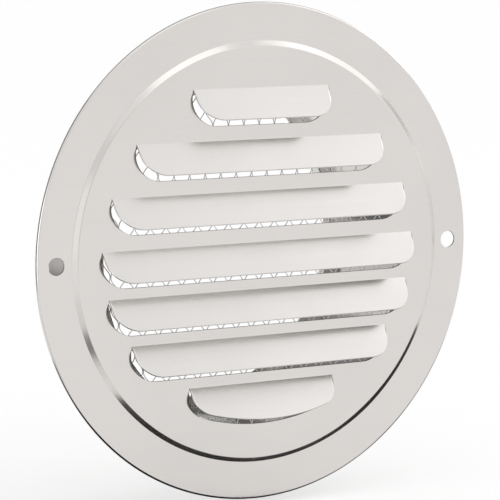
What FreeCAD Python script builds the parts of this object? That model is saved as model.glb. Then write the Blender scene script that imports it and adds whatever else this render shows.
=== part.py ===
# Round louvred vent cover: a pressed face plate, an expanded mesh screen and a duct collar.
# Millimetres. The front faces -Y and +Z is up. The origin is the centre of the wall plane,
# the plane in which the hem of the face plate bears on the wall.
import FreeCAD, Part
import math
import os
from collections import namedtuple
from FreeCAD import Placement, Rotation, Vector

# Driving dimensions of the face plate
SHEET = 0.5
FLANGE_RADIUS = 70.0
HEM_RETURN = 3.0
HEM_GAP = 0.2
STEP_FOOT_RADIUS = 59.3
STEP_TOP_RADIUS = 57.8
STEP_RISE = 0.8
SCREW_HOLE_RADIUS = 2.4
SCREW_HOLE_OFFSET = 64.0

# Driving dimensions of the louvres
TOP_FOLD_Z = 46.5
UPPER_PITCH = 14.4
UPPER_PITCHES = 3
LOWER_PITCH = 13.2
LOWER_PITCHES = 3
FLAP_ANGLE = 34.0
FLAP_BEND = 0.75
FLAP_TRIM = 0.3
SLOT_HALF_FOLDS = (22.0, 39.8, 47.5, 50.6, 48.6, 41.6)
SLOT_END_RADIUS = 7.6
SLOT_END_DROP = 2.9
CRESCENT_HALF_FOLD = 23.5
CRESCENT_HEIGHT = 12.0
CRESCENT_END_RADIUS = 6.5
CRESCENT_END_DROP = 2.9

# Driving dimensions of the mesh screen, which is drawn with every second strand of the real one
MESH_RADIUS = 54.5
MESH_THICKNESS = 0.4
STRAND_PITCH = 4.97
STRAND_ROW = 4.45
STRANDS_PER_CELL = 2
MESH_PHASE_X = -3.0
MESH_PHASE_Z = 22.8
STRAND_WIDTH = 0.45
BOND_WIDTH = 0.7
BOND_LENGTH = 1.5

# Driving dimensions of the duct collar
COLLAR_RADIUS = 49.5
COLLAR_LENGTH = 38.2
COLLAR_FLANGE_RADIUS = 55.5
COLLAR_FLANGE_BEND = 1.25
NECK_RADIUS = 46.6
NECK_LENGTH = 3.2
SHOULDER_LENGTH = 2.4
SHOULDER_BEND = 1.0

# Planes and spacings that follow from the dimensions above
MESH_PITCH = STRAND_PITCH * STRANDS_PER_CELL
MESH_ROW = STRAND_ROW * STRANDS_PER_CELL
FLANGE_FRONT_Y = -2 * SHEET - HEM_GAP
PANEL_FRONT_Y = FLANGE_FRONT_Y - STEP_RISE
PANEL_BACK_Y = PANEL_FRONT_Y + SHEET
MESH_BACK_Y = PANEL_BACK_Y + MESH_THICKNESS

# A bend in a round sheet is drawn with flat facets that each turn by this much at most
FACET_TURN = math.radians(51)
SHORTEST_EDGE = 1e-6
AXIS = Vector(0, 1, 0)
ORIGIN = Vector(0, 0, 0)

# A bend, or an end, of a sheet's middle line in the plane of its section
Bend = namedtuple("Bend", "a b radius")
# The cut of a louvre, measured down from its fold: the centre and radius of its round ends,
# the angle at which an end meets the lower edge, and the depth of the lower edge
Cut = namedtuple("Cut", "end_x end_drop end_radius end_turn depth")


def unit(start, end):
    """Unit vector from one section point to another."""
    length = math.hypot(end[0] - start[0], end[1] - start[1])
    return (end[0] - start[0]) / length, (end[1] - start[1]) / length


def cross(first, second):
    """Sine of the turn from one unit vector to another, positive to the left."""
    return first[0] * second[1] - first[1] * second[0]


def bend_points(before, corner, after):
    """Points round one bend: an arc tangent to both runs, drawn with flat facets."""
    arrive = unit(before, corner)
    leave = unit(corner, after)
    turn = math.atan2(cross(arrive, leave), arrive[0] * leave[0] + arrive[1] * leave[1])
    radius = math.copysign(corner.radius, turn)
    tangent = radius * math.tan(turn / 2)
    centre_a = corner.a - arrive[0] * tangent - arrive[1] * radius
    centre_b = corner.b - arrive[1] * tangent + arrive[0] * radius
    heading = math.atan2(arrive[1], arrive[0])
    facets = math.ceil(abs(turn) / FACET_TURN)
    angles = [heading + turn * step / facets for step in range(facets + 1)]
    return [(centre_a + radius * math.sin(angle), centre_b - radius * math.cos(angle)) for angle in angles]


def middle_line(path):
    """Points along a sheet's middle line, with no point repeated where two bends meet."""
    points = [path[0][:2]]
    for before, corner, after in zip(path, path[1:], path[2:]):
        for point in bend_points(before, corner, after):
            if math.dist(point, points[-1]) > SHORTEST_EDGE:
                points.append(point)
    return points + [path[-1][:2]]


def offset_side(line, distance):
    """Moves a line to its left by distance."""
    runs = [unit(start, end) for start, end in zip(line, line[1:])]
    side = []
    for point, arrive, leave in zip(line, runs[:1] + runs, runs + runs[-1:]):
        mitre = distance / (1 + arrive[0] * leave[0] + arrive[1] * leave[1])
        side.append((point[0] - (arrive[1] + leave[1]) * mitre, point[1] + (arrive[0] + leave[0]) * mitre))
    return side


def sheet_section(path, place):
    """Face across a bent sheet whose middle line follows path."""
    line = middle_line(path)
    outline = offset_side(line, SHEET / 2) + offset_side(line, -SHEET / 2)[::-1]
    return Part.Face(Part.makePolygon([place(*point) for point in outline + outline[:1]]))


def revolved_sheet(path):
    """Round sheet part: path holds distances from the axis and y."""
    section = sheet_section(path, lambda radius, y: Vector(radius, y, 0))
    return section.revolve(ORIGIN, AXIS, 360)


def slot_cut(half_fold):
    """Cut of a straight louvre: each end runs down from the fold and rounds into the lower edge."""
    end_x = half_fold - SLOT_END_RADIUS
    return Cut(end_x, SLOT_END_DROP, SLOT_END_RADIUS, math.pi / 2, SLOT_END_DROP + SLOT_END_RADIUS)


def crescent_cut():
    """Cut of the lowest louvre: a wide arc below, tangent to a small round at each end."""
    end_x = CRESCENT_HALF_FOLD - CRESCENT_END_RADIUS
    fall = CRESCENT_HEIGHT - CRESCENT_END_DROP
    arc_radius = (end_x ** 2 + fall ** 2 - CRESCENT_END_RADIUS ** 2) / (2 * (fall - CRESCENT_END_RADIUS))
    end_turn = math.asin((arc_radius - fall) / (arc_radius - CRESCENT_END_RADIUS))
    return Cut(end_x, CRESCENT_END_DROP, CRESCENT_END_RADIUS, end_turn, CRESCENT_HEIGHT)


def trimmed(cut):
    """Outline of the flap in its cut: the tool takes a narrow strip off its free edge."""
    return cut._replace(end_radius=cut.end_radius - FLAP_TRIM, depth=cut.depth - FLAP_TRIM)


def cut_outline(cut, rise):
    """Face of a louvre's cut, lying in XZ with the fold on the X axis, raised above it by rise."""
    def end_point(angle, side):
        x = cut.end_x + cut.end_radius * math.cos(angle)
        return Vector(side * x, 0, -cut.end_drop - cut.end_radius * math.sin(angle))

    edges = []
    for side in (-1, 1):
        turns = (0, cut.end_turn / 2, cut.end_turn)
        edges.append(Part.Arc(*[end_point(turn, side) for turn in turns]).toShape())
    bottom = [end_point(cut.end_turn, side) for side in (-1, 1)]
    if cut.end_turn < math.pi / 2:
        edges.append(Part.Arc(bottom[0], Vector(0, 0, -cut.depth), bottom[1]).toShape())
    else:
        edges.append(Part.LineSegment(*bottom).toShape())
    left, right = [end_point(0, side) for side in (-1, 1)]
    top = [left, Vector(left.x, 0, rise), Vector(right.x, 0, rise), right]
    edges += [Part.LineSegment(start, end).toShape() for start, end in zip(top, top[1:])]
    return Part.Face(Part.Wire(Part.__sortEdges__(edges)))


def louvre_opening(fold_z, cut):
    """Prism that cuts a louvre's outline through the raised panel."""
    prism = cut_outline(cut, 0).extrude(Vector(0, 3 * SHEET, 0))
    prism.translate(Vector(0, PANEL_FRONT_Y - SHEET, fold_z))
    return prism


def louvre_flap(fold_z, cut):
    """Flap of a louvre: the lanced sheet, hinged at its fold and bent out to the front."""
    angle = math.radians(FLAP_ANGLE)
    middle_y = PANEL_FRONT_Y + SHEET / 2
    tangent = FLAP_BEND * math.tan(angle / 2)
    bend_length = FLAP_BEND * angle
    run = tangent + cut.depth - bend_length
    corner_z = fold_z - tangent
    path = [
        Bend(middle_y, fold_z, 0),
        Bend(middle_y, corner_z, FLAP_BEND),
        Bend(middle_y - run * math.sin(angle), corner_z - run * math.cos(angle), 0),
    ]
    bent = sheet_section(path, lambda y, z: Vector(-FLANGE_RADIUS, y, z))
    bent = bent.extrude(Vector(2 * FLANGE_RADIUS, 0, 0))
    outline = cut_outline(cut, 4 * SHEET).extrude(Vector(0, 6 * SHEET, 0))
    outline.translate(Vector(0, -3 * SHEET, bend_length - tangent))
    hinge = Placement(Vector(0, middle_y, corner_z), Rotation(Vector(1, 0, 0), -FLAP_ANGLE))
    outline.Placement = hinge.multiply(outline.Placement)
    return bent.common(outline)


def build_face_plate():
    """One pressed sheet: hemmed flange, raised panel, lanced louvres and two screw holes."""
    panel_y = PANEL_FRONT_Y + SHEET / 2
    flange_y = FLANGE_FRONT_Y + SHEET / 2
    hem_bend = (SHEET + HEM_GAP) / 2
    rim = FLANGE_RADIUS - SHEET / 2
    plate = revolved_sheet([
        Bend(0, panel_y, 0),
        Bend(STEP_TOP_RADIUS, panel_y, 0),
        Bend(STEP_FOOT_RADIUS, flange_y, 0),
        Bend(rim, flange_y, hem_bend),
        Bend(rim, -SHEET / 2, hem_bend),
        Bend(FLANGE_RADIUS - HEM_RETURN, -SHEET / 2, 0),
    ])
    folds = [TOP_FOLD_Z - UPPER_PITCH * step for step in range(UPPER_PITCHES + 1)]
    folds += [folds[-1] - LOWER_PITCH * (step + 1) for step in range(LOWER_PITCHES)]
    cuts = [slot_cut(half_fold) for half_fold in SLOT_HALF_FOLDS] + [crescent_cut()]
    openings = [louvre_opening(fold_z, cut) for fold_z, cut in zip(folds, cuts)]
    flaps = [louvre_flap(fold_z, trimmed(cut)) for fold_z, cut in zip(folds, cuts)]
    for x in (-SCREW_HOLE_OFFSET, SCREW_HOLE_OFFSET):
        openings.append(Part.makeCylinder(SCREW_HOLE_RADIUS, 2, Vector(x, FLANGE_FRONT_Y - SHEET, 0), AXIS))
    return plate.cut(openings).fuse(flaps).removeSplitter()


def mesh_cell():
    """Open cell of the mesh: a hexagon with upright bonds at its sides and slanted strands."""
    strand_rise = MESH_ROW - BOND_LENGTH
    slope = strand_rise / (MESH_PITCH / 2)
    tip = BOND_LENGTH / 2 + strand_rise - STRAND_WIDTH / 2 * math.hypot(1, slope)
    side = (MESH_PITCH - BOND_WIDTH) / 2
    shoulder = tip - side * slope
    corners = [(0, tip), (side, shoulder), (side, -shoulder)]
    corners += [(-x, -z) for x, z in corners]
    return Part.Face(Part.makePolygon([Vector(x, 0, z) for x, z in corners + corners[:1]]))


def build_mesh_screen():
    """Disc of expanded mesh that lies on the back of the raised panel."""
    cell = mesh_cell()
    reach = math.ceil(2 * MESH_RADIUS / MESH_ROW)
    cells = []
    for row in range(-reach, reach):
        for column in range(-reach, reach):
            x = MESH_PHASE_X + MESH_PITCH * (column + 0.5 + row % 2 / 2)
            z = MESH_PHASE_Z + MESH_ROW * row
            if math.hypot(x, z) < MESH_RADIUS + MESH_ROW:
                cells.append(cell.translated(Vector(x, PANEL_BACK_Y, z)))
    disc = Part.Face(Part.Wire(Part.makeCircle(MESH_RADIUS, Vector(0, PANEL_BACK_Y, 0), AXIS)))
    strands = max(disc.cut(cells).Faces, key=lambda face: face.Area)
    return strands.extrude(Vector(0, MESH_THICKNESS, 0))


def build_duct_collar():
    """Round collar with a flange that clamps the mesh and a stepped-in rear end."""
    flange_y = MESH_BACK_Y + SHEET / 2
    wall = COLLAR_RADIUS - SHEET / 2
    neck = NECK_RADIUS - SHEET / 2
    neck_start = COLLAR_LENGTH - NECK_LENGTH
    return revolved_sheet([
        Bend(COLLAR_FLANGE_RADIUS, flange_y, 0),
        Bend(wall, flange_y, COLLAR_FLANGE_BEND),
        Bend(wall, neck_start - SHOULDER_LENGTH, SHOULDER_BEND),
        Bend(neck, neck_start, SHOULDER_BEND),
        Bend(neck, COLLAR_LENGTH, 0),
    ])


def main():
    """Builds every piece and writes one file for each."""
    os.makedirs("parts", exist_ok=True)
    pieces = {
        "face_plate": build_face_plate(),
        "mesh_screen": build_mesh_screen(),
        "duct_collar": build_duct_collar(),
    }
    for name, shape in pieces.items():
        solid = shape.Solids[0]
        print(f"{name}: {len(shape.Solids)} solid, {solid.Volume:.1f} mm3, valid {solid.isValid()}")
        solid.exportStep(f"parts/{name}.step")


main()
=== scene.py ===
"""Dresses the round louvred vent cover with fine sheet-metal pieces, steel finishes and a white studio."""

import logging
import math
from dataclasses import dataclass, replace
from enum import Enum
from typing import Callable, Iterator, Sequence

import bmesh
import bpy
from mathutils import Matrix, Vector
from mathutils.geometry import delaunay_2d_cdt

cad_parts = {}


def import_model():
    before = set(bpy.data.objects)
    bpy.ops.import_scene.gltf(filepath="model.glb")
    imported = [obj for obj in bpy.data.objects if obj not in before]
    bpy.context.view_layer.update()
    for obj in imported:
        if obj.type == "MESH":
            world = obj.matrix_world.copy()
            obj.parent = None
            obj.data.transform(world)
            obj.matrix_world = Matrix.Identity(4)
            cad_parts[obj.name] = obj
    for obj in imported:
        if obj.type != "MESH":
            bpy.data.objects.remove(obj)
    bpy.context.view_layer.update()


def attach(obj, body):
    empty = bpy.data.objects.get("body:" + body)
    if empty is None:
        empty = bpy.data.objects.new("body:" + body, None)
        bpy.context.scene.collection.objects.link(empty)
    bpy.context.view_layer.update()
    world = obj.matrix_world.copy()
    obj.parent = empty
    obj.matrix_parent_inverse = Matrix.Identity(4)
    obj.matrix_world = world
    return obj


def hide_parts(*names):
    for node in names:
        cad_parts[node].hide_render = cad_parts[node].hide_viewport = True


LOG = logging.getLogger("vent_cover")
MM = 0.001  # metres
SAME_POINT = 1e-6  # millimetres within which two drawn points are one
FILL_GAP = 1e-5  # millimetres that the fill of an outline may bridge
JOIN_REACH = 2e-4  # millimetres within which the faces of a piece are joined
SHARP_TURN = math.radians(32)  # turn from which an edge is shaded as sharp
INSIDE_ONLY = 1  # output type of the fill that keeps to the inside of the outline
FULL_SHARE = (0.0, 1.0)
FLOOR_Z = -0.0718  # metres
FLOOR_CARD_Z = -0.0717
SPOT_CARD_Z = -0.0716
Point = tuple[float, float]
Place = tuple[float, float, float]
Colour = tuple[float, float, float, float]


class Surface(Enum):
    """Material slots of a sheet piece."""

    SHEET = 0
    CUT_EDGE = 1
    BACK = 2
    FLAP = 3
    # Sheared edges and part of their rounding, painted dark as shade.
    EDGE_SHADE = 4


class LouvreForm(Enum):
    """Outlines that the louvres are lanced to."""

    SLOT = "slot"
    CRESCENT = "crescent"


class GrainRun(Enum):
    """Ways in which the rolling grain of a sheet runs."""

    ACROSS = "across"
    ROUND = "round"


@dataclass(frozen=True)
class Bend:
    """A bend, or an end, of a sheet's middle line.

    Attributes:
        a: First section coordinate in millimetres.
        b: Second section coordinate in millimetres.
        radius: Radius of the middle line round the bend.
    """

    a: float
    b: float
    radius: float = 0.0


@dataclass(frozen=True)
class SheetSection:
    """Section of a bent sheet round its middle line.

    Attributes:
        bends: Corners and ends of the middle line.
        thickness: Thickness of the sheet.
        facet_turn: Largest turn of one facet of a bend, in radians.
    """

    bends: tuple[Bend, ...]
    thickness: float
    facet_turn: float = math.radians(8)

    def _round(self, before: Bend, corner: Bend, after: Bend) -> list[Point]:
        """Draws one bend as points on an arc.

        Args:
            before: The bend before the corner.
            corner: The bend that is drawn.
            after: The bend after the corner.

        Returns:
            The points from the start of the arc to its end.
        """
        arrive = Vector((corner.a - before.a, corner.b - before.b)).normalized()
        leave = Vector((after.a - corner.a, after.b - corner.b)).normalized()
        turn = math.atan2(arrive.x * leave.y - arrive.y * leave.x, arrive.dot(leave))
        radius = math.copysign(corner.radius, turn)
        tangent = radius * math.tan(turn / 2)
        centre = Vector((corner.a, corner.b)) - arrive * tangent + Vector((-arrive.y, arrive.x)) * radius
        heading = math.atan2(arrive.y, arrive.x)
        facets = max(1, math.ceil(abs(turn) / self.facet_turn))
        points = []
        for step in range(facets + 1):
            angle = heading + turn * step / facets
            points.append((centre.x + radius * math.sin(angle), centre.y - radius * math.cos(angle)))
        return points

    def middle(self) -> list[Point]:
        """Draws the middle line.

        Returns:
            The points of the line, with none repeated.
        """
        points = [(self.bends[0].a, self.bends[0].b)]
        for before, corner, after in zip(self.bends, self.bends[1:], self.bends[2:]):
            for point in self._round(before, corner, after):
                if math.dist(point, points[-1]) > SAME_POINT:
                    points.append(point)
        return points + [(self.bends[-1].a, self.bends[-1].b)]

    def side(self, distance: float) -> list[Point]:
        """Moves the middle line sideways.

        Args:
            distance: How far the line moves to its left.

        Returns:
            The points of the moved line.
        """
        line = [Vector(point) for point in self.middle()]
        runs = [(end - start).normalized() for start, end in zip(line, line[1:])]
        moved = []
        for point, arrive, leave in zip(line, runs[:1] + runs, runs + runs[-1:]):
            across = Vector((-arrive.y - leave.y, arrive.x + leave.x))
            shifted = point + across * (distance / (1 + arrive.dot(leave)))
            moved.append((shifted.x, shifted.y))
        return moved

    def loop(self) -> list[Point]:
        """Returns the whole section: one side out, the other side back."""
        return self.side(-self.thickness / 2) + self.side(self.thickness / 2)[::-1]


def ring(radius: float, segments: int, centre: Point = (0.0, 0.0)) -> list[Point]:
    """Draws a circle in the plane of the plate.

    Args:
        radius: Radius in millimetres.
        segments: Number of points.
        centre: Centre of the circle.

    Returns:
        The points, counter-clockwise seen from the front.
    """
    turns = [math.tau * step / segments for step in range(segments)]
    return [(centre[0] + radius * math.cos(turn), centre[1] + radius * math.sin(turn)) for turn in turns]


def encloses(loop: Sequence[Point], point: Vector) -> bool:
    """Tells whether a loop goes round a point.

    Args:
        loop: Corners of the loop.
        point: The point that is tested.

    Returns:
        True if the point lies inside the loop.
    """
    inside = False
    for (x0, y0), (x1, y1) in zip(loop, list(loop[1:]) + [loop[0]]):
        if (y0 > point.y) != (y1 > point.y) and point.x < (x1 - x0) * (point.y - y0) / (y1 - y0) + x0:
            inside = not inside
    return inside


class SheetMesh:
    """Collects the faces of one piece in millimetres and turns them into an object."""

    def __init__(self) -> None:
        """Starts with no faces."""
        self.faces = bmesh.new()

    def strip(self, rows: Sequence[Sequence[Vector]], closed: bool,
              surface: Surface = Surface.SHEET) -> None:
        """Joins neighbouring rows of points with quads.

        Args:
            rows: Rows of points, all of one length.
            closed: True if each row runs back to its first point.
            surface: Slot of the faces.
        """
        placed = [[self.faces.verts.new(point) for point in row] for row in rows]
        count = len(rows[0])
        for low, high in zip(placed, placed[1:]):
            for here in range(count if closed else count - 1):
                there = (here + 1) % count
                face = self.faces.faces.new((low[here], high[here], high[there], low[there]))
                face.material_index = surface.value

    def lathe(self, profile: Sequence[Point], segments: int, surface: Surface = Surface.SHEET) -> None:
        """Turns a profile round the duct's axis.

        Args:
            profile: Points given by their distance from the axis and their depth.
            segments: Number of steps round the axis.
            surface: Slot of the faces.
        """
        rows = [[Vector((x, depth, z)) for x, z in ring(radius, segments)] for radius, depth in profile]
        self.strip(rows, True, surface)

    def fill(self, loops: Sequence[Sequence[Point]], place: Callable[[float, float], Vector],
             creases: Sequence[tuple[int, int]] = (), surface: Surface = Surface.SHEET) -> None:
        """Fills an outline with holes.

        Args:
            loops: The outer loop and then the holes, in the plane of the flat sheet.
            place: Puts a point of the flat sheet into space.
            creases: Pairs of points of the outer loop that an edge joins.
            surface: Slot of the faces.
        """
        points = [Vector(point) for loop in loops for point in loop]
        edges = list(creases)
        first = 0
        for loop in loops:
            edges += [(first + step, first + (step + 1) % len(loop)) for step in range(len(loop))]
            first += len(loop)
        coords, _, faces, *_ = delaunay_2d_cdt(points, edges, [], INSIDE_ONLY, FILL_GAP)
        placed = [self.faces.verts.new(place(point.x, point.y)) for point in coords]
        for face in faces:
            centre = sum((coords[corner] for corner in face), Vector((0.0, 0.0))) / len(face)
            if not any(encloses(hole, centre) for hole in loops[1:]):
                corners = [placed[corner] for corner in face]
                made = self.faces.faces.new(corners[::-1] if surface is Surface.BACK else corners)
                made.material_index = surface.value

    def finish(self, name: str) -> bpy.types.Object:
        """Welds the faces and makes the object.

        Args:
            name: Name of the object and of its mesh.

        Returns:
            The object, in metres.
        """
        bmesh.ops.remove_doubles(self.faces, verts=self.faces.verts, dist=JOIN_REACH)
        loose = [vert for vert in self.faces.verts if not vert.link_faces]
        bmesh.ops.delete(self.faces, geom=loose, context="VERTS")
        bmesh.ops.recalc_face_normals(self.faces, faces=self.faces.faces)
        bmesh.ops.scale(self.faces, vec=(MM, MM, MM), verts=self.faces.verts)
        for face in self.faces.faces:
            face.smooth = True
        for edge in self.faces.edges:
            edge.smooth = edge.calc_face_angle(0.0) < SHARP_TURN
        mesh = bpy.data.meshes.new(name)
        self.faces.to_mesh(mesh)
        self.faces.free()
        piece = bpy.data.objects.new(name, mesh)
        bpy.context.scene.collection.objects.link(piece)
        shade = piece.modifiers.new("even_shading", "WEIGHTED_NORMAL")
        shade.mode = "FACE_AREA"
        shade.weight = 100
        shade.keep_sharp = True
        return piece


@dataclass(frozen=True)
class DieRoll:
    """Rounding that the punch leaves along a cut edge.

    Attributes:
        width: Reach of the rounding from the edge.
        depth: Depth of the rounding at the edge.
        taper: Length in which it fades out at the ends of a cut.
        low_share: Share of it that is left along a lower edge.
        side_power: Power that holds it to the edges that face sideways.
        steps: Number of facets across it.
    """

    width: float
    depth: float
    taper: float = 3.0
    low_share: float = 0.1
    side_power: int = 5
    steps: int = 6

    def rows(self) -> Iterator[Point]:
        """Works out the rounding from the flat face to the edge.

        Yields:
            Reach from the edge and depth below the face.
        """
        for step in range(self.steps + 1):
            turn = math.pi / 2 * step / self.steps
            yield self.width * (1 - math.sin(turn)), self.depth * (1 - math.cos(turn))


@dataclass(frozen=True)
class Louvre:
    """A louvre: the cut in the panel and the flap that is bent out of it.

    Attributes:
        fold_z: Height of the fold.
        form: Outline of the cut.
        end_x: Distance of the round ends' centres from the middle.
        end_drop: Drop of those centres below the fold.
        end_radius: Radius of the round ends.
        end_turn: Angle at which a round end meets the lower edge.
        depth: Depth of the lower edge below the fold.
        arc_radius: Radius of a curved lower edge.
        side_steps: Number of stretches from the bend to a round end.
        end_steps: Number of facets of a round end.
        arc_steps: Number of facets of half a curved lower edge.
    """

    fold_z: float
    form: LouvreForm
    end_x: float
    end_drop: float
    end_radius: float
    end_turn: float
    depth: float
    arc_radius: float = 0.0
    side_steps: int = 6
    end_steps: int = 22
    arc_steps: int = 15

    def half_outline(self, bend_rows: Sequence[float]) -> list[Point]:
        """Draws the right half of the cut from the fold down.

        Args:
            bend_rows: Drops at which the bend of the flap needs a point.

        Returns:
            Distances from the middle and drops below the fold.
        """
        half = self.end_x + self.end_radius
        last = bend_rows[-1]
        points = [(half, drop) for drop in bend_rows]
        for step in range(1, self.side_steps):
            points.append((half, last + (self.end_drop - last) * step / self.side_steps))
        for step in range(self.end_steps + 1):
            turn = self.end_turn * step / self.end_steps
            points.append((self.end_x + self.end_radius * math.cos(turn),
                           self.end_drop + self.end_radius * math.sin(turn)))
        if self.form is LouvreForm.CRESCENT:
            centre_drop = self.depth - self.arc_radius
            span = math.asin(points[-1][0] / self.arc_radius)
            for step in range(1, self.arc_steps + 1):
                turn = span * (1 - step / self.arc_steps)
                drop = centre_drop + self.arc_radius * math.cos(turn)
                points.append((self.arc_radius * math.sin(turn), drop))
        return points

    def outline(self, bend_rows: Sequence[float]) -> list[Point]:
        """Draws the whole cut from the left end of the fold round to the right end.

        Args:
            bend_rows: Drops at which the bend of the flap needs a point.

        Returns:
            Points across and up from the middle of the fold.
        """
        half = self.half_outline(bend_rows)
        left = [(-x, -drop) for x, drop in half]
        right = [(x, -drop) for x, drop in reversed(half)]
        if math.dist(left[-1], right[0]) < SAME_POINT:
            right = right[1:]
        return left + right


def outward(points: Sequence[Point], closed: bool) -> list[Vector]:
    """Finds the directions that point out of a counter-clockwise outline.

    Args:
        points: Points of the outline.
        closed: True if the outline is a full loop.

    Returns:
        One unit vector for each point.
    """
    line = [Vector(point) for point in points]
    before = [line[-1] if closed else line[0]] + line[:-1]
    after = line[1:] + [line[0] if closed else line[-1]]
    along = [(end - start).normalized() for start, end in zip(before, after)]
    return [Vector((run.y, -run.x)) for run in along]


def fade(points: Sequence[Point], sides: Sequence[Vector], roll: DieRoll) -> list[float]:
    """Weighs a rounding that fades out at the fold and along the lower edge.

    Args:
        points: Points of the outline.
        sides: Directions that point out of the outline.
        roll: The rounding.

    Returns:
        One weight from 0 to 1 for each point.
    """
    lengths = [0.0]
    for start, end in zip(points, points[1:]):
        lengths.append(lengths[-1] + math.dist(start, end))
    weights = []
    for length, side in zip(lengths, sides):
        share = min(1.0, min(length, lengths[-1] - length) / roll.taper)
        facing = roll.low_share + (1 - roll.low_share) * abs(side.x) ** roll.side_power
        weights.append(share * share * (3 - 2 * share) * facing)
    return weights


@dataclass(frozen=True)
class NoiseLayer:
    """A layer of noise over the metal.

    Attributes:
        scale: Fineness of the noise.
        detail: Number of finer layers in it.
        stretch: Scale of the coordinates along each axis.
    """

    scale: float
    detail: float
    stretch: Place = (1.0, 1.0, 1.0)


class NodeBench:
    """Places and joins shader nodes in one tree."""

    def __init__(self, tree: bpy.types.NodeTree) -> None:
        """Keeps the tree that the nodes go into."""
        self.tree = tree

    def add(self, kind: str, **values: object) -> bpy.types.Node:
        """Adds a node.

        Args:
            kind: Type of the node.
            values: Properties of the node by name.

        Returns:
            The new node.
        """
        node = self.tree.nodes.new(kind)
        for name, value in values.items():
            setattr(node, name, value)
        return node

    def join(self, source: bpy.types.NodeSocket, target: bpy.types.NodeSocket) -> None:
        """Links an output to an input."""
        self.tree.links.new(source, target)

    def feed(self, target: bpy.types.NodeSocket, value: object) -> None:
        """Links a socket to an input, or sets the input to a plain value.

        Args:
            target: The input.
            value: Socket or plain value that it takes.
        """
        if isinstance(value, bpy.types.NodeSocket):
            self.join(value, target)
        else:
            target.default_value = value

    def maths(self, operation: str, *values: object) -> bpy.types.NodeSocket:
        """Adds a calculation.

        Args:
            operation: Name of the calculation.
            values: Sockets or numbers that it takes.

        Returns:
            The result.
        """
        node = self.add("ShaderNodeMath", operation=operation)
        for socket, value in zip(node.inputs, values):
            self.feed(socket, value)
        return node.outputs[0]

    def blend(self, share: object, low: object, high: object) -> bpy.types.NodeSocket:
        """Mixes two colours.

        Args:
            share: Share of the second colour.
            low: First colour.
            high: Second colour.

        Returns:
            The mixed colour.
        """
        node = self.add("ShaderNodeMix", data_type="RGBA")
        for socket, value in zip((node.inputs[0], node.inputs[6], node.inputs[7]), (share, low, high)):
            self.feed(socket, value)
        return node.outputs[2]

    def length(self, across: object, along: object) -> bpy.types.NodeSocket:
        """Returns the length of a slanted line from its two legs."""
        squares = [self.maths("MULTIPLY", leg, leg) for leg in (across, along)]
        return self.maths("SQRT", self.maths("ADD", *squares))

    def spread(self, value: object, span: Point, results: Point) -> bpy.types.NodeSocket:
        """Maps a range to another range smoothly.

        Args:
            value: Socket that is mapped.
            span: Ends of the range that the values come from.
            results: Results at those two ends.

        Returns:
            The mapped value.
        """
        node = self.add("ShaderNodeMapRange", interpolation_type="SMOOTHSTEP")
        for socket, number in zip(node.inputs[:5], (value, *span, *results)):
            self.feed(socket, number)
        return node.outputs[0]

    def noise(self, where: bpy.types.NodeSocket, layer: NoiseLayer) -> bpy.types.NodeSocket:
        """Adds a stretched noise.

        Args:
            where: Coordinates.
            layer: Fineness and stretch of the noise.

        Returns:
            Values round one half.
        """
        mapping = self.add("ShaderNodeMapping")
        mapping.inputs["Scale"].default_value = layer.stretch
        self.join(where, mapping.inputs["Vector"])
        node = self.add("ShaderNodeTexNoise")
        node.inputs["Scale"].default_value = layer.scale
        node.inputs["Detail"].default_value = layer.detail
        self.join(mapping.outputs[0], node.inputs["Vector"])
        return node.outputs["Fac"]


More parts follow.
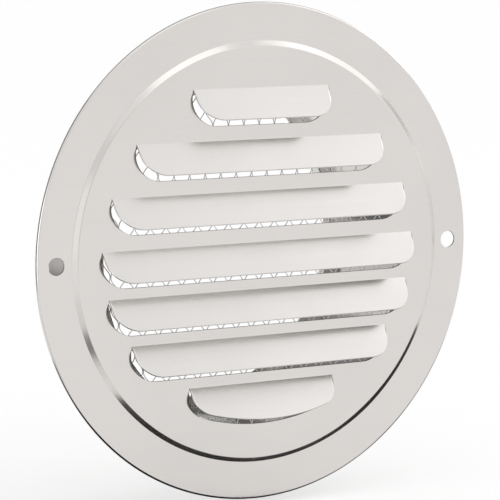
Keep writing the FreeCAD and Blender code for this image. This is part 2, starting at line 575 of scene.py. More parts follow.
class EffectShelf:
    """Shader node groups that more than one finish uses, each built once."""

    FINE_STREAKS = NoiseLayer(900.0, 3.0, (0.02, 1.0, 1.0))
    BROAD_STREAKS = NoiseLayer(160.0, 2.0, (0.03, 1.0, 1.0))
    BROAD_SHARE = 0.4
    CLOUDS = NoiseLayer(26.0, 4.0)
    CLOUD_SPAN = (0.35, 0.7)
    SPECKS = NoiseLayer(1400.0, 1.0)
    SPECK_SPAN = (0.68, 0.78)

    def __init__(self) -> None:
        """Starts with an empty shelf."""
        self.groups: dict[str, bpy.types.NodeTree] = {}

    @staticmethod
    def _open(name: str, inputs: Sequence[tuple[str, str]], outputs: Sequence[tuple[str, str]]) -> tuple:
        """Makes an empty group.

        Args:
            name: Name of the group.
            inputs: Names and socket types of its inputs.
            outputs: Names and socket types of its outputs.

        Returns:
            The group, its bench, its input node and its output node.
        """
        group = bpy.data.node_groups.new(name, "ShaderNodeTree")
        for socket, kind in inputs:
            group.interface.new_socket(socket, in_out="INPUT", socket_type=kind)
        for socket, kind in outputs:
            group.interface.new_socket(socket, in_out="OUTPUT", socket_type=kind)
        bench = NodeBench(group)
        return group, bench, bench.add("NodeGroupInput"), bench.add("NodeGroupOutput")

    def rolled_grain(self) -> bpy.types.NodeTree:
        """Gives the fine streaks that a rolling mill leaves.

        Returns:
            The node group.
        """
        if "rolled_grain" not in self.groups:
            group, bench, start, end = self._open(
                "rolled_grain", [("Along", "NodeSocketVector")],
                [("Streak", "NodeSocketFloat"), ("Height", "NodeSocketFloat")])
            fine = bench.noise(start.outputs["Along"], self.FINE_STREAKS)
            broad = bench.noise(start.outputs["Along"], self.BROAD_STREAKS)
            fine_part = bench.maths("MULTIPLY", fine, 1 - self.BROAD_SHARE)
            streak = bench.maths("MULTIPLY_ADD", broad, self.BROAD_SHARE, fine_part)
            bench.join(streak, end.inputs["Streak"])
            bench.join(fine, end.inputs["Height"])
            self.groups["rolled_grain"] = group
        return self.groups["rolled_grain"]

    def handling_haze(self) -> bpy.types.NodeTree:
        """Gives the faint cloudy haze of handled sheet metal.

        Returns:
            The node group.
        """
        if "handling_haze" not in self.groups:
            group, bench, start, end = self._open(
                "handling_haze", [("Where", "NodeSocketVector")],
                [("Haze", "NodeSocketFloat"), ("Specks", "NodeSocketFloat")])
            cloud = bench.noise(start.outputs["Where"], self.CLOUDS)
            specks = bench.noise(start.outputs["Where"], self.SPECKS)
            bench.join(bench.spread(cloud, self.CLOUD_SPAN, FULL_SHARE), end.inputs["Haze"])
            bench.join(bench.spread(specks, self.SPECK_SPAN, FULL_SHARE), end.inputs["Specks"])
            self.groups["handling_haze"] = group
        return self.groups["handling_haze"]


@dataclass(frozen=True)
class SteelWear:
    """Strengths of the effects on the steel, with lengths in metres.

    Attributes:
        haze_share: Share of the dull colour that full haze adds.
        streak_span: Streak values between which the grain turns from pale to dull.
        streak_share: Shares of the dull colour at the ends of that span.
        streak_roughness: Changes of the roughness at the ends of that span.
        speck_roughness: Roughness that a speck adds.
        turn_run: Run of one radian in coordinates along the turn.
        weld_radii: Radii between which the mark of a spot weld fades out.
        weld_tint: Colour of a weld mark.
        weld_share: Share of that colour in the middle of a mark.
        weld_roughness: Roughness that a weld mark adds.
        weld_dent: Depth of a weld mark.
    """

    haze_share: float = 0.6
    streak_span: Point = (0.3, 0.7)
    streak_share: Point = (0.1, 0.35)
    streak_roughness: Point = (-0.012, 0.012)
    speck_roughness: float = 0.06
    turn_run: float = 0.05
    weld_radii: Point = (0.0012, 0.0023)
    weld_tint: Colour = (0.33, 0.27, 0.22, 1.0)
    weld_share: float = 0.7
    weld_roughness: float = 0.15
    weld_dent: float = 0.0001


@dataclass(frozen=True)
class SteelFinish:
    """Finish of bare stainless sheet.

    Attributes:
        name: Name of the material.
        pale: Colour of the clean metal.
        dull: Colour under the haze.
        roughness: Roughness of the clean metal.
        haze_roughness: Roughness that the haze adds.
        grain: Way in which the rolling grain runs.
        grain_height: Height of the grain in metres.
        weld_ring: Radius of the ring of spot welds, or 0 for none.
        weld_count: Number of spot welds.
        wear: Strengths of the effects.
    """

    name: str
    pale: Colour
    dull: Colour
    roughness: float
    haze_roughness: float
    grain: GrainRun
    grain_height: float
    weld_ring: float = 0.0
    weld_count: int = 0
    wear: SteelWear = SteelWear()

    def _round_coordinates(self, bench: NodeBench, where: bpy.types.NodeSocket) -> tuple:
        """Works out coordinates round the duct's axis.

        Args:
            bench: Bench of the material.
            where: Object coordinates.

        Returns:
            Coordinates along the turn, the angle and the distance from the axis.
        """
        parts = bench.add("ShaderNodeSeparateXYZ")
        bench.join(where, parts.inputs[0])
        x, depth, z = parts.outputs
        angle = bench.maths("ARCTAN2", z, x)
        distance = bench.length(x, z)
        run = bench.maths("MULTIPLY", angle, self.wear.turn_run)
        along = bench.add("ShaderNodeCombineXYZ")
        for socket, value in zip(along.inputs, (run, depth, distance)):
            bench.join(value, socket)
        return along.outputs[0], angle, distance

    def _weld_mask(self, bench: NodeBench, angle: object, distance: object) -> bpy.types.NodeSocket:
        """Marks the round dents of the spot welds.

        Args:
            bench: Bench of the material.
            angle: Angle round the axis.
            distance: Distance from the axis.

        Returns:
            A mask that is 1 in the middle of a weld.
        """
        step = math.tau / self.weld_count
        turned = bench.maths("WRAP", angle, step / 2, -step / 2)
        sideways = bench.maths("MULTIPLY", turned, self.weld_ring)
        out = bench.maths("SUBTRACT", distance, self.weld_ring)
        return bench.spread(bench.length(sideways, out), self.wear.weld_radii, FULL_SHARE[::-1])

    def build(self, shelf: EffectShelf) -> bpy.types.Material:
        """Makes the material.

        Args:
            shelf: Shelf of the shared effects.

        Returns:
            The material.
        """
        material = bpy.data.materials.new(self.name)
        material.use_nodes = True
        material.node_tree.nodes.clear()
        bench = NodeBench(material.node_tree)
        out = bench.add("ShaderNodeOutputMaterial")
        steel = bench.add("ShaderNodeBsdfPrincipled")
        bench.join(steel.outputs[0], out.inputs[0])
        steel.inputs["Metallic"].default_value = 1.0
        where = bench.add("ShaderNodeTexCoord").outputs["Object"]
        round_along, angle, distance = self._round_coordinates(bench, where)
        grain = bench.add("ShaderNodeGroup", node_tree=shelf.rolled_grain())
        bench.join(round_along if self.grain is GrainRun.ROUND else where, grain.inputs["Along"])
        haze = bench.add("ShaderNodeGroup", node_tree=shelf.handling_haze())
        bench.join(where, haze.inputs["Where"])
        wear = self.wear
        streak = bench.spread(grain.outputs["Streak"], wear.streak_span, wear.streak_share)
        share = bench.maths("MULTIPLY_ADD", haze.outputs["Haze"], wear.haze_share, streak)
        colour = bench.blend(share, self.pale, self.dull)
        rough = bench.maths("MULTIPLY_ADD", haze.outputs["Haze"], self.haze_roughness, self.roughness)
        rough = bench.maths("MULTIPLY_ADD", haze.outputs["Specks"], wear.speck_roughness, rough)
        streak = bench.spread(grain.outputs["Streak"], wear.streak_span, wear.streak_roughness)
        rough = bench.maths("ADD", rough, streak)
        height = bench.maths("MULTIPLY", grain.outputs["Height"], self.grain_height)
        if self.weld_count:
            weld = self._weld_mask(bench, angle, distance)
            colour = bench.blend(bench.maths("MULTIPLY", weld, wear.weld_share), colour, wear.weld_tint)
            rough = bench.maths("MULTIPLY_ADD", weld, wear.weld_roughness, rough)
            height = bench.maths("MULTIPLY_ADD", weld, -wear.weld_dent, height)
        bump = bench.add("ShaderNodeBump")
        bump.inputs["Distance"].default_value = 1.0
        bump.inputs["Strength"].default_value = 1.0
        bench.join(height, bump.inputs["Height"])
        bench.join(bump.outputs[0], steel.inputs["Normal"])
        bench.join(colour, steel.inputs["Base Color"])
        bench.join(rough, steel.inputs["Roughness"])
        return material


PLATE_STEEL = SteelFinish(
    "bright_plate_steel", pale=(0.71, 0.682, 0.66, 1.0), dull=(0.675, 0.65, 0.63, 1.0),
    roughness=0.16, haze_roughness=0.03, grain=GrainRun.ACROSS, grain_height=5e-8)
FLAP_STEEL = SteelFinish(
    "formed_flap_steel", pale=(0.69, 0.67, 0.65, 1.0), dull=(0.655, 0.638, 0.62, 1.0),
    roughness=0.2, haze_roughness=0.04, grain=GrainRun.ACROSS, grain_height=5e-8)
CUT_STEEL = SteelFinish(
    "sheared_steel", pale=(0.8, 0.79, 0.78, 1.0), dull=(0.72, 0.71, 0.7, 1.0),
    roughness=0.5, haze_roughness=0.1, grain=GrainRun.ROUND, grain_height=2e-6)
# Sheared metal of the hole walls and of the opening edges with their rounding, painted dark: the dark tone is
# painted shade, well below the steel's own colour.
SHADED_EDGE_STEEL = SteelFinish(
    "edge_steel_painted_shade", pale=(0.22, 0.21, 0.185, 1.0), dull=(0.17, 0.16, 0.145, 1.0),
    roughness=0.45, haze_roughness=0.1, grain=GrainRun.ROUND, grain_height=1e-6)
BACK_STEEL = SteelFinish(
    "dull_back_steel", pale=(0.72, 0.7, 0.675, 1.0), dull=(0.67, 0.65, 0.63, 1.0),
    roughness=0.5, haze_roughness=0.06, grain=GrainRun.ACROSS, grain_height=6e-7)
MESH_STEEL = SteelFinish(
    "mesh_strand_steel", pale=(0.56, 0.55, 0.54, 1.0), dull=(0.46, 0.455, 0.45, 1.0),
    roughness=0.3, haze_roughness=0.1, grain=GrainRun.ACROSS, grain_height=1e-6)
COLLAR_STEEL = SteelFinish(
    "collar_steel", pale=(0.64, 0.628, 0.605, 1.0), dull=(0.57, 0.56, 0.535, 1.0),
    roughness=0.15, haze_roughness=0.06, grain=GrainRun.ROUND, grain_height=6e-7,
    weld_ring=0.0526, weld_count=12)
# The collar's outside is painted darker than its inside: the darker tone is painted shade.
SHADED_OUTSIDE_STEEL = replace(
    COLLAR_STEEL, name="collar_outside_painted_shade", pale=(0.5, 0.476, 0.462, 1.0), dull=(0.445, 0.422, 0.408, 1.0),
    roughness=0.22)


@dataclass
class FacePlate:
    """The pressed plate: hemmed flange, raised panel and lanced louvres, in millimetres."""

    node: str = "face_plate"
    slot: str = "plate_steel"
    sheet: float = 0.5
    flange_radius: float = 70.0
    hem_return: float = 3.0
    hem_gap: float = 0.2
    panel_edge: float = 56.2
    step_top: float = 57.8
    step_foot: float = 59.3
    step_rise: float = 0.8
    step_bend: float = 0.8
    hole_radius: float = 2.4
    hole_offset: float = 64.0
    hole_segments: int = 64
    flat_run: float = 5.0  # length from which a stretch of the section is filled as a flat face
    top_fold: float = 46.5
    pitches: tuple[float, ...] = (14.4, 14.4, 14.4, 13.2, 13.2, 13.2)
    half_folds: tuple[float, ...] = (22.0, 39.8, 47.5, 50.6, 48.6, 41.6)
    end_radius: float = 7.6
    end_drop: float = 2.9
    crescent_half: float = 23.5
    crescent_depth: float = 12.0
    crescent_end: float = 6.5
    crescent_drop: float = 2.9
    flap_angle: float = math.radians(34.0)
    flap_bow: float = math.radians(4.0)  # lean of a flap's edge past that of its chord
    flap_trim: float = 0.3  # gap between a flap and its cut
    trim_run: float = 1.5  # drop below the fold in which that gap opens
    flap_bend: float = 0.75
    bend_steps: int = 6
    segments: int = 288
    panel_roll: DieRoll = DieRoll(width=1.1, depth=0.45)
    shade_painted_rows: int = 5  # strips of an opening's edge, from the back, painted dark as shade: the sheared wall and the outer part of its rounding
    flap_roll: DieRoll = DieRoll(width=0.5, depth=0.3, low_share=0.05)
    hole_roll: DieRoll = DieRoll(width=0.15, depth=0.15)

    @property
    def flange_front(self) -> float:
        """Depth of the front of the flange."""
        return -2 * self.sheet - self.hem_gap

    @property
    def panel_front(self) -> float:
        """Depth of the front of the raised panel."""
        return self.flange_front - self.step_rise

    @property
    def flap_start(self) -> float:
        """Angle of a flap next to its fold: the flap bows a little, and flap_angle is that of its chord."""
        return self.flap_angle - self.flap_bow

    @property
    def bend_rows(self) -> list[float]:
        """Drops below a fold at which the bend of the flap is drawn."""
        length = self.flap_bend * self.flap_start
        return [length * step / self.bend_steps for step in range(self.bend_steps + 1)]

    def _slot(self, fold: float, half: float) -> Louvre:
        """Shapes a straight louvre.

        Args:
            fold: Height of the fold.
            half: Half of the fold's length.

        Returns:
            The louvre.
        """
        return Louvre(fold, LouvreForm.SLOT, half - self.end_radius, self.end_drop, self.end_radius,
                      math.pi / 2, self.end_drop + self.end_radius)

    def _crescent(self, fold: float) -> Louvre:
        """Shapes the lowest louvre.

        Args:
            fold: Height of the fold.

        Returns:
            The louvre.
        """
        end_x = self.crescent_half - self.crescent_end
        fall = self.crescent_depth - self.crescent_drop
        arc = (end_x ** 2 + fall ** 2 - self.crescent_end ** 2) / (2 * (fall - self.crescent_end))
        turn = math.asin((arc - fall) / (arc - self.crescent_end))
        return Louvre(fold, LouvreForm.CRESCENT, end_x, self.crescent_drop, self.crescent_end, turn,
                      self.crescent_depth, arc)

    def louvres(self) -> list[Louvre]:
        """Shapes all louvres.

        Returns:
            The louvres from the top down.
        """
        folds = [self.top_fold]
        for pitch in self.pitches:
            folds.append(folds[-1] - pitch)
        slots = [self._slot(fold, half) for fold, half in zip(folds, self.half_folds)]
        return slots + [self._crescent(folds[-1])]

    def _on_flap(self, louvre: Louvre, x: float, drop: float, depth: float) -> Vector:
        """Puts a point of the flat flap into space.

        Args:
            louvre: The louvre.
            x: Distance from the middle.
            drop: Distance below the fold along the sheet.
            depth: Depth below the front of the sheet.

        Returns:
            The point.
        """
        bent = self.flap_bend * self.flap_start
        curl = 2 * self.flap_bow / (louvre.depth - bent)
        turn = min(self.flap_start, drop / self.flap_bend)
        lean = turn + curl * max(0.0, drop - bent)
        behind = depth - self.sheet / 2
        middle = self.panel_front + self.sheet / 2
        out = self.flap_bend * (1 - math.cos(turn)) + (math.cos(turn) - math.cos(lean)) / curl
        down = self.flap_bend * math.sin(turn) + (math.sin(lean) - math.sin(turn)) / curl
        y = middle - out + behind * math.cos(lean)
        z = -down - behind * math.sin(lean)
        return Vector((x, y, louvre.fold_z + z))

    def _add_rim(self, mesh: SheetMesh) -> None:
        """Adds the step ring, the flange with its screw holes and the hem.

        Args:
            mesh: Mesh of the plate.
        """
        rim = self.flange_radius - self.sheet / 2
        panel = self.panel_front + self.sheet / 2
        flange = self.flange_front + self.sheet / 2
        hem = (self.sheet + self.hem_gap) / 2
        section = SheetSection((
            Bend(self.panel_edge, panel),
            Bend(self.step_top, panel, self.step_bend),
            Bend(self.step_foot, flange, self.step_bend),
            Bend(rim, flange, hem),
            Bend(rim, -self.sheet / 2, hem),
            Bend(self.flange_radius - self.hem_return, -self.sheet / 2),
        ), self.sheet)
        profile = section.loop()
        holes = [(-self.hole_offset, 0.0), (self.hole_offset, 0.0)]
        for start, end in zip(profile, profile[1:]):
            if math.dist(start, end) < self.flat_run:
                mesh.lathe((start, end), self.segments)
                continue
            inner, outer = sorted((start[0], end[0]))
            depth = start[1]
            front = end[0] > start[0]
            reach = self.hole_radius + (self.hole_roll.width if front else 0.0)
            loops = [ring(outer, self.segments), ring(inner, self.segments)]
            loops += [ring(reach, self.hole_segments, hole) for hole in holes]
            surface = Surface.SHEET if front else Surface.BACK
            mesh.fill(loops, lambda x, z, depth=depth: Vector((x, depth, z)), surface=surface)
        for hole in holes:
            rows = []
            for reach, depth in [(0.0, self.sheet)] + list(self.hole_roll.rows())[::-1]:
                circle = ring(self.hole_radius + reach, self.hole_segments, hole)
                rows.append([Vector((x, self.flange_front + depth, z)) for x, z in circle])
            # The hole's wall is painted dark as shade.
            mesh.strip(rows[:2], True, Surface.EDGE_SHADE)
            mesh.strip(rows[1:], True)

    def _add_panel(self, mesh: SheetMesh, louvres: Sequence[Louvre]) -> None:
        """Adds the raised panel and the rolled edges of its openings.

        Args:
            mesh: Mesh of the plate.
            louvres: The louvres that open it.
        """
        front_holes = []
        back_holes = []
        for louvre in louvres:
            cut = louvre.outline(self.bend_rows)
            sides = outward(cut, False)
            weights = fade(cut, sides, self.panel_roll)
            rows = [[Vector((x, self.panel_front + self.sheet, louvre.fold_z + z)) for x, z in cut]]
            for reach, depth in reversed(list(self.panel_roll.rows())):
                row = []
                for (x, z), side, weight in zip(cut, sides, weights):
                    moved = Vector((x, z)) + side * reach * weight
                    y = self.panel_front + depth * weight
                    row.append(Vector((moved.x, y, louvre.fold_z + moved.y)))
                rows.append(row)
            # The sheared wall and the outer part of the rounding are painted dark as shade.
            mesh.strip(rows[:self.shade_painted_rows + 1], False, Surface.EDGE_SHADE)
            mesh.strip(rows[self.shade_painted_rows:], False)
            front_holes.append([(point.x, point.z) for point in rows[-1]])
            back_holes.append([(x, louvre.fold_z + z) for x, z in cut])
        edge = ring(self.panel_edge, self.segments)
        mesh.fill([edge] + front_holes, lambda x, z: Vector((x, self.panel_front, z)))
        mesh.fill([edge] + back_holes, lambda x, z: Vector((x, self.panel_front + self.sheet, z)),
                  surface=Surface.BACK)

    def _add_flap(self, mesh: SheetMesh, louvre: Louvre) -> None:
        """Adds one flap with its rolled front edge and its cut edge.

        Args:
            mesh: Mesh of the plate.
            louvre: The louvre that the flap belongs to.
        """
        louvre = replace(louvre, end_radius=louvre.end_radius - self.flap_trim,
                         depth=louvre.depth - self.flap_trim,
                         arc_radius=max(0.0, louvre.arc_radius - self.flap_trim))
        cut = [(x + math.copysign(self.flap_trim * max(0.0, 1 + z / self.trim_run), x), z)
               for x, z in louvre.outline(self.bend_rows)]
        sides = outward(cut, False)
        weights = fade(cut, sides, self.flap_roll)
        creases = [(step, len(cut) - 1 - step) for step in range(1, len(cut) // 2 - 1)]
        flat = []
        rows = []
        for reach, depth in self.flap_roll.rows():
            row = []
            for (x, z), side, weight in zip(cut, sides, weights):
                moved = Vector((x, z)) - side * reach * weight
                if not rows:
                    flat.append((moved.x, moved.y))
                row.append(self._on_flap(louvre, moved.x, -moved.y, depth * weight))
            rows.append(row)
        rows.append([self._on_flap(louvre, x, -z, self.sheet) for x, z in cut])
        mesh.strip(rows[:-1], False, Surface.FLAP)
        mesh.strip(rows[-2:], False, Surface.CUT_EDGE)
        mesh.fill([flat], lambda x, z: self._on_flap(louvre, x, -z, 0.0), creases, Surface.FLAP)
        mesh.fill([cut], lambda x, z: self._on_flap(louvre, x, -z, self.sheet), creases, Surface.BACK)

    def build(self) -> bpy.types.Object:
        """Makes the plate.

        Returns:
            The plate as one mesh.
        """
        mesh = SheetMesh()
        louvres = self.louvres()
        self._add_rim(mesh)
        self._add_panel(mesh, louvres)
        for louvre in louvres:
            self._add_flap(mesh, louvre)
        return mesh.finish("pressed_plate")

    def dress(self, piece: bpy.types.Object, shelf: EffectShelf) -> None:
        """Gives the plate its finishes."""
        for finish in (PLATE_STEEL, CUT_STEEL, BACK_STEEL, FLAP_STEEL, SHADED_EDGE_STEEL):
            piece.data.materials.append(finish.build(shelf))


@dataclass
class MeshScreen:
    """The expanded mesh with all its strands, in millimetres."""

    node: str = "mesh_screen"
    slot: str = "mesh_steel"
    radius: float = 54.2
    front: float = -1.5
    back: float = -1.1
    pitch: float = 4.97
    row: float = 4.45  # height of a row of meshes
    first_x: float = -2.99  # place of one bond across the disc
    first_z: float = 22.8  # its height
    strand: float = 0.2
    wave: float = 0.75  # how far a strand swings off its straight run
    steps: int = 10

    def _link(self, mesh: SheetMesh, x: float, z: float, side: int) -> None:
        """Adds one strand between two bonds.

        Args:
            mesh: Mesh that the strand goes into.
            x: Place of the lower bond across the disc.
            z: Height of the lower bond.
            side: 1 if the strand rises to the right, -1 if to the left.
        """
        run = self.pitch / 2 - self.strand
        rows = []
        for step in range(self.steps + 1):
            share = step / self.steps
            over = self.strand / 2 + run * (share - self.wave * math.sin(math.tau * share) / math.tau)
            lean = run * (1 - self.wave * math.cos(math.tau * share))
            across = Vector((self.row, -side * lean)).normalized() * (self.strand / 2)
            middle = Vector((x + side * over, z + self.row * share))
            right = middle + across
            left = middle - across
            lift = (1 - math.cos(math.tau * share)) / 2
            front = self.front + (self.back - self.front - self.strand) * lift
            back = front + self.strand
            corners = ((left, front), (right, front), (right, back), (left, back))
            rows.append([Vector((point.x, depth, point.y)) for point, depth in corners])
        mesh.strip(rows, True)
        for row in (rows[0], rows[-1][::-1]):
            mesh.faces.faces.new([mesh.faces.verts.new(corner) for corner in row])

    def build(self) -> bpy.types.Object:
        """Makes the screen.

        Returns:
            The screen as one mesh.
        """
        mesh = SheetMesh()
        reach = math.ceil(2 * self.radius / self.row)
        for level in range(-reach, reach):
            for place in range(-reach, reach):
                x = self.first_x + self.pitch * (place + level % 2 / 2)
                z = self.first_z + self.row * level
                for side in (-1, 1):
                    far = math.hypot(x + side * self.pitch / 2, z + self.row)
                    if max(far, math.hypot(x, z)) < self.radius - self.strand:
                        self._link(mesh, x, z, side)
        return mesh.finish("mesh_strands")

    def dress(self, piece: bpy.types.Object, shelf: EffectShelf) -> None:
        """Gives the screen its finish."""
        piece.data.materials.append(MESH_STEEL.build(shelf))


@dataclass
class DuctCollar:
    """The collar behind the plate, in millimetres."""

    node: str = "duct_collar"
    slot: str = "collar_steel"
    sheet: float = 0.5
    front: float = -1.1
    length: float = 38.2
    radius: float = 49.5
    flange_radius: float = 55.5
    flange_bend: float = 1.25
    neck_radius: float = 46.6
    neck_length: float = 3.2
    shoulder_length: float = 2.4
    shoulder_bend: float = 1.0
    segments: int = 256

    def build(self) -> bpy.types.Object:
        """Makes the collar.

        Returns:
            The collar as one mesh.
        """
        flange = self.front + self.sheet / 2
        wall = self.radius - self.sheet / 2
        neck = self.neck_radius - self.sheet / 2
        start = self.length - self.neck_length
        section = SheetSection((
            Bend(self.flange_radius, flange),
            Bend(wall, flange, self.flange_bend),
            Bend(wall, start - self.shoulder_length, self.shoulder_bend),
            Bend(neck, start, self.shoulder_bend),
            Bend(neck, self.length),
        ), self.sheet)
        inside = section.side(self.sheet / 2)
        outside = section.side(-self.sheet / 2)
        mesh = SheetMesh()
        mesh.lathe(inside, self.segments)
        mesh.lathe(outside, self.segments, Surface.BACK)
        for end in (0, -1):
            mesh.lathe((inside[end], outside[end]), self.segments, Surface.CUT_EDGE)
        return mesh.finish("rolled_collar")

    def dress(self, piece: bpy.types.Object, shelf: EffectShelf) -> None:
        """Gives the collar its finishes."""
        # The outside finish is the collar steel painted darker as shade.
        for finish in (COLLAR_STEEL, CUT_STEEL, SHADED_OUTSIDE_STEEL):
            piece.data.materials.append(finish.build(shelf))


@dataclass(frozen=True)
class Softbox:
    """An area lamp that points at the part.

    Attributes:
        name: Name of the lamp.
        place: Place in metres.
        size: Width and height in metres.
        watts: Power.
    """

    name: str
    place: Place
    size: Point
    watts: float

    def build(self) -> None:
        """Puts the lamp into the scene."""
        lamp = bpy.data.lights.new(self.name, "AREA")
        lamp.shape = "RECTANGLE"
        lamp.size, lamp.size_y = self.size
        lamp.energy = self.watts
        holder = bpy.data.objects.new(self.name, lamp)
        holder.location = self.place
        holder.rotation_euler = (-Vector(self.place)).to_track_quat("-Z", "Y").to_euler()
        bpy.context.scene.collection.objects.link(holder)


@dataclass(frozen=True)
class StudioCard:
    """A grey or lit card that only shows in the polished metal.

    Attributes:
        name: Name of the card.
        corners: Corners in metres.
        tone: Brightness of the card.
    """

    name: str
    corners: tuple[Place, ...]
    tone: float

    @classmethod
    def upright(cls, name: str, x: float, depths: Point, heights: Point, tone: float) -> "StudioCard":
        """Makes a card that stands at the side.

        Args:
            name: Name of the card.
            x: Place across the scene.
            depths: Front and rear end.
            heights: Lower and upper end.
            tone: Brightness of the card.

        Returns:
            The card.
        """
        (front, rear), (low, high) = depths, heights
        outline = ((front, low), (rear, low), (rear, high), (front, high))
        return cls(name, tuple((x, y, z) for y, z in outline), tone)

    @classmethod
    def facing(cls, name: str, depth: float, sides: Point, heights: Point, tone: float) -> "StudioCard":
        """Makes a card that stands in front of the part or behind it.

        Args:
            name: Name of the card.
            depth: Place along the depth of the scene.
            sides: Left and right end.
            heights: Lower and upper end.
            tone: Brightness of the card.

        Returns:
            The card.
        """
        (left, right), (low, high) = sides, heights
        outline = ((left, low), (right, low), (right, high), (left, high))
        return cls(name, tuple((x, depth, z) for x, z in outline), tone)

    @classmethod
    def level(cls, name: str, z: float, outline: tuple[Point, ...], tone: float) -> "StudioCard":
        """Makes a card that lies flat.

        Args:
            name: Name of the card.
            z: Height of the card.
            outline: Corners across and along the depth.
            tone: Brightness of the card.

        Returns:
            The card.
        """
        return cls(name, tuple((x, y, z) for x, y in outline), tone)

    def build(self) -> None:
        """Puts the card into the scene."""
        mesh = bpy.data.meshes.new(self.name)
        mesh.from_pydata(self.corners, [], [tuple(range(len(self.corners)))])
        card = bpy.data.objects.new(self.name, mesh)
        bpy.context.scene.collection.objects.link(card)
        material = bpy.data.materials.new(self.name)
        material.use_nodes = True
        shader = material.node_tree.nodes["Principled BSDF"]
        shader.inputs["Base Color"].default_value = (0.0, 0.0, 0.0, 1.0)
        shader.inputs["Roughness"].default_value = 1.0
        shader.inputs["Emission Color"].default_value = (self.tone, self.tone, self.tone, 1.0)
        shader.inputs["Emission Strength"].default_value = 1.0
        mesh.materials.append(material)
        card.visible_camera = False
        card.visible_diffuse = False
        card.visible_shadow = False


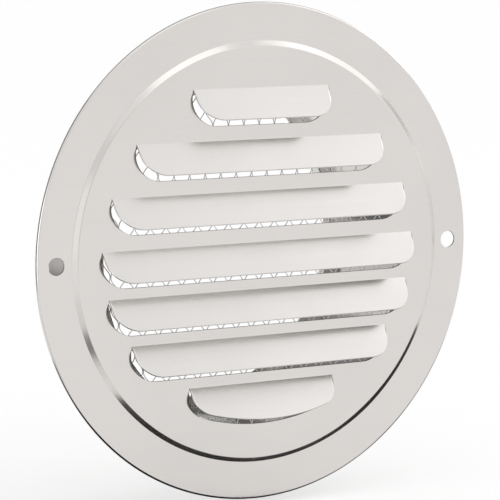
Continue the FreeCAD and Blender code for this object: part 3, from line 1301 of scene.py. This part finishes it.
@dataclass
class Studio:
    """White floor, soft light and the camera, in metres.

    Attributes:
        floor_z: Height of the floor.
        floor_reach: Half of the floor's width.
        floor_glow: Light that the floor gives off where it is seen.
        floor_tone: Paleness of the floor.
        fill: Strength of the even light.
        rise: How fast the background brightens towards the upper right.
        rise_start: Direction across from which it brightens.
        rise_limit: Largest strength of the background.
        lamps: The lamps.
        cards: The cards that show in the metal.
        yaw: Angle by which the camera stands to the left.
        pitch: Angle by which it stands above.
        distance: Distance of the camera from the point it aims at.
        aim: That point.
        near_clip: Distance from which the camera sees.
        sensor: Width of the sensor in millimetres.
        focal_pixels: Focal length in pixels of the photograph.
        frame_pixels: Width of the photograph in pixels.
        centre_pixels: Place of the aim in the photograph, from its upper left corner.
    """

    floor_z: float = FLOOR_Z
    floor_reach: float = 6.0
    floor_glow: float = 0.55
    floor_tone: float = 0.8
    fill: float = 0.55
    rise: float = 5.4
    rise_start: float = 0.464
    rise_limit: float = 1.38
    lamps: tuple[Softbox, ...] = (
        Softbox("front_softbox", (0.23, -1.06, 0.9), (0.6, 0.5), 0.55),
        Softbox("right_softbox", (1.0, -0.67, 0.8), (0.32, 0.3), 0.2),
    )
    cards: tuple[StudioCard, ...] = (
        StudioCard.upright("left_card", -0.3, (-0.1, 0.4), (-0.07, 0.4), 0.27),
        StudioCard.upright("left_rear_card", -0.3, (0.4, 0.62), (-0.07, 0.1), 0.72),
        StudioCard.upright("side_light_card", -0.33, (-0.3, -0.12), (-0.07, 0.11), 2.4),
        StudioCard.facing("front_card", -0.5, (-0.15, 0.06), (-0.07, 0.25), 0.8),
        StudioCard.facing("brow_card", -0.6, (0.46, 0.64), (0.6, 0.78), 0.6),
        StudioCard.upright("right_card", 0.5, (-0.25, -0.03), (-0.07, 0.2), 0.88),
        StudioCard.upright("right_light_card", 0.52, (-0.05, 0.12), (0.22, 0.35), 6.0),
        StudioCard.upright("right_shade_card", 0.49, (-0.25, -0.04), (0.11, 0.21), 0.7),
        StudioCard.facing("front_left_card", -0.8, (-0.56, -0.38), (-0.07, 0.25), 1.1),
        StudioCard.facing("lens_card", -0.8, (-0.44, -0.26), (0.28, 0.47), 0.82),
        StudioCard.facing("rear_light_card", 0.2, (0.0, 0.24), (-0.07, -0.012), 2.6),
        StudioCard.facing("rear_card", 0.6, (0.2, 0.46), (0.06, 0.155), 0.06),
        StudioCard.facing("rear_high_card", 0.6, (0.08, 0.4), (0.215, 0.34), 0.15),
        StudioCard.level("top_card", 0.45, ((-0.5, 0.1), (0.7, 0.1), (0.7, 1.3), (-0.5, 1.3)), 0.25),
        StudioCard.level("rear_floor_card", FLOOR_CARD_Z,
                         ((-0.17, 0.2), (-0.035, 0.2), (-0.035, 0.42), (-0.17, 0.42)), 0.02),
        StudioCard.level("left_floor_card", FLOOR_CARD_Z,
                         ((-0.2, -0.2), (-0.07, -0.2), (-0.06, -0.05), (-0.2, -0.05)), 0.86),
        StudioCard.level("spot_floor_card", SPOT_CARD_Z,
                         ((-0.11, -0.1), (-0.085, -0.108), (-0.064, -0.076), (-0.088, -0.067)), 0.14),
        # Black card on the floor under and in front of the part, seen only in the metal: painted contact
        # shadow that darkens the lower step ring and rim.
        StudioCard.level("floor_card", FLOOR_CARD_Z,
                         ((-0.12, -0.03), (-0.05, -0.037), (-0.02, -0.0175), (-0.005, -0.0115),
                          (0.005, -0.009), (0.03, -0.009), (0.05, -0.013), (0.08, -0.04),
                          (0.19, -0.045), (0.19, 0.03), (-0.12, 0.03)), 0.01),
    )
    yaw: float = math.radians(31.32)
    pitch: float = math.radians(6.77)
    distance: float = 0.774
    aim: Place = (0.0, -0.0012, 0.0)
    near_clip: float = 0.01
    sensor: float = 36.0
    focal_pixels: float = 2763.0
    frame_pixels: float = 500.0
    centre_pixels: Point = (260.4, 252.4)

    @staticmethod
    def _seen(bench: NodeBench) -> bpy.types.NodeSocket:
        """Tells the rays that show the studio from those that light the part.

        Args:
            bench: Bench of the material or the world.

        Returns:
            1 for rays of the camera, of reflections and of clear materials, and 0 for others.
        """
        path = bench.add("ShaderNodeLightPath")
        seen = path.outputs["Is Camera Ray"]
        for kind in ("Is Glossy Ray", "Is Transmission Ray"):
            seen = bench.maths("MAXIMUM", seen, path.outputs[kind])
        return seen

    def _world(self) -> None:
        """Lights the scene evenly, with a white background."""
        world = bpy.data.worlds.new("white_studio")
        bpy.context.scene.world = world
        world.use_nodes = True
        world.node_tree.nodes.clear()
        bench = NodeBench(world.node_tree)
        out = bench.add("ShaderNodeOutputWorld")
        even = bench.add("ShaderNodeBackground")
        even.inputs["Color"].default_value = (1.0, 1.0, 1.0, 1.0)
        even.inputs["Strength"].default_value = self.fill
        white = bench.add("ShaderNodeBackground")
        white.inputs["Color"].default_value = (1.0, 1.0, 1.0, 1.0)
        parts = bench.add("ShaderNodeSeparateXYZ")
        bench.join(bench.add("ShaderNodeTexCoord").outputs["Generated"], parts.inputs[0])
        right = bench.maths("SUBTRACT", parts.outputs[0], self.rise_start)
        rise = bench.maths("MULTIPLY_ADD", bench.maths("MULTIPLY", right, parts.outputs[2]), self.rise, 1.0)
        bench.join(bench.maths("MINIMUM", bench.maths("MAXIMUM", rise, 1.0), self.rise_limit),
                   white.inputs["Strength"])
        mix = bench.add("ShaderNodeMixShader")
        bench.join(self._seen(bench), mix.inputs[0])
        bench.join(even.outputs[0], mix.inputs[1])
        bench.join(white.outputs[0], mix.inputs[2])
        bench.join(mix.outputs[0], out.inputs[0])

    def _floor(self) -> None:
        """Lays the white floor, which keeps the part's shadow."""
        reach = self.floor_reach
        mesh = bpy.data.meshes.new("studio_floor")
        mesh.from_pydata([(-reach, -reach, self.floor_z), (reach, -reach, self.floor_z),
                          (reach, reach, self.floor_z), (-reach, reach, self.floor_z)], [], [(0, 1, 2, 3)])
        floor = bpy.data.objects.new("studio_floor", mesh)
        bpy.context.scene.collection.objects.link(floor)
        material = bpy.data.materials.new("white_floor")
        material.use_nodes = True
        material.node_tree.nodes.clear()
        bench = NodeBench(material.node_tree)
        out = bench.add("ShaderNodeOutputMaterial")
        paper = bench.add("ShaderNodeBsdfDiffuse")
        paper.inputs["Color"].default_value = (self.floor_tone, self.floor_tone, self.floor_tone, 1.0)
        glow = bench.add("ShaderNodeEmission")
        bench.join(bench.maths("MULTIPLY", self._seen(bench), self.floor_glow), glow.inputs["Strength"])
        both = bench.add("ShaderNodeAddShader")
        bench.join(paper.outputs[0], both.inputs[0])
        bench.join(glow.outputs[0], both.inputs[1])
        bench.join(both.outputs[0], out.inputs[0])
        mesh.materials.append(material)

    def _camera(self) -> None:
        """Puts the camera where the photograph was taken from."""
        lens = bpy.data.cameras.new("camera")
        lens.sensor_width = self.sensor
        lens.lens = self.focal_pixels * lens.sensor_width / self.frame_pixels
        lens.shift_x = 0.5 - self.centre_pixels[0] / self.frame_pixels
        lens.shift_y = self.centre_pixels[1] / self.frame_pixels - 0.5
        lens.clip_start = self.near_clip
        level = math.cos(self.pitch)
        forward = Vector((math.sin(self.yaw) * level, math.cos(self.yaw) * level, -math.sin(self.pitch)))
        camera = bpy.data.objects.new("camera", lens)
        camera.location = Vector(self.aim) - forward * self.distance
        camera.rotation_euler = forward.to_track_quat("-Z", "Y").to_euler()
        bpy.context.scene.collection.objects.link(camera)
        bpy.context.scene.camera = camera

    def build(self) -> None:
        """Sets up the background, the floor, the light and the camera."""
        bpy.context.scene.view_settings.view_transform = "Standard"
        self._world()
        self._floor()
        for lamp in self.lamps:
            lamp.build()
        for card in self.cards:
            card.build()
        self._camera()


def corners(box: tuple[Vector, Vector]) -> list[list[float]]:
    """Turns the two corners of a box into plain lists of numbers."""
    return [list(corner) for corner in box]


def main() -> None:
    """Builds the pieces in order, dresses them and sets up the studio."""
    logging.basicConfig(level=logging.INFO, format="%(name)s: %(message)s")
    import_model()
    shelf = EffectShelf()
    for part in (FacePlate(), MeshScreen(), DuctCollar()):
        piece = part.build()
        part.dress(piece, shelf)
        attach(piece, "root")
        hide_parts(part.node)
        LOG.info("%s stands for %s with %d faces", piece.name, part.node, len(piece.data.polygons))
    Studio().build()


if __name__ == "__main__":
    main()
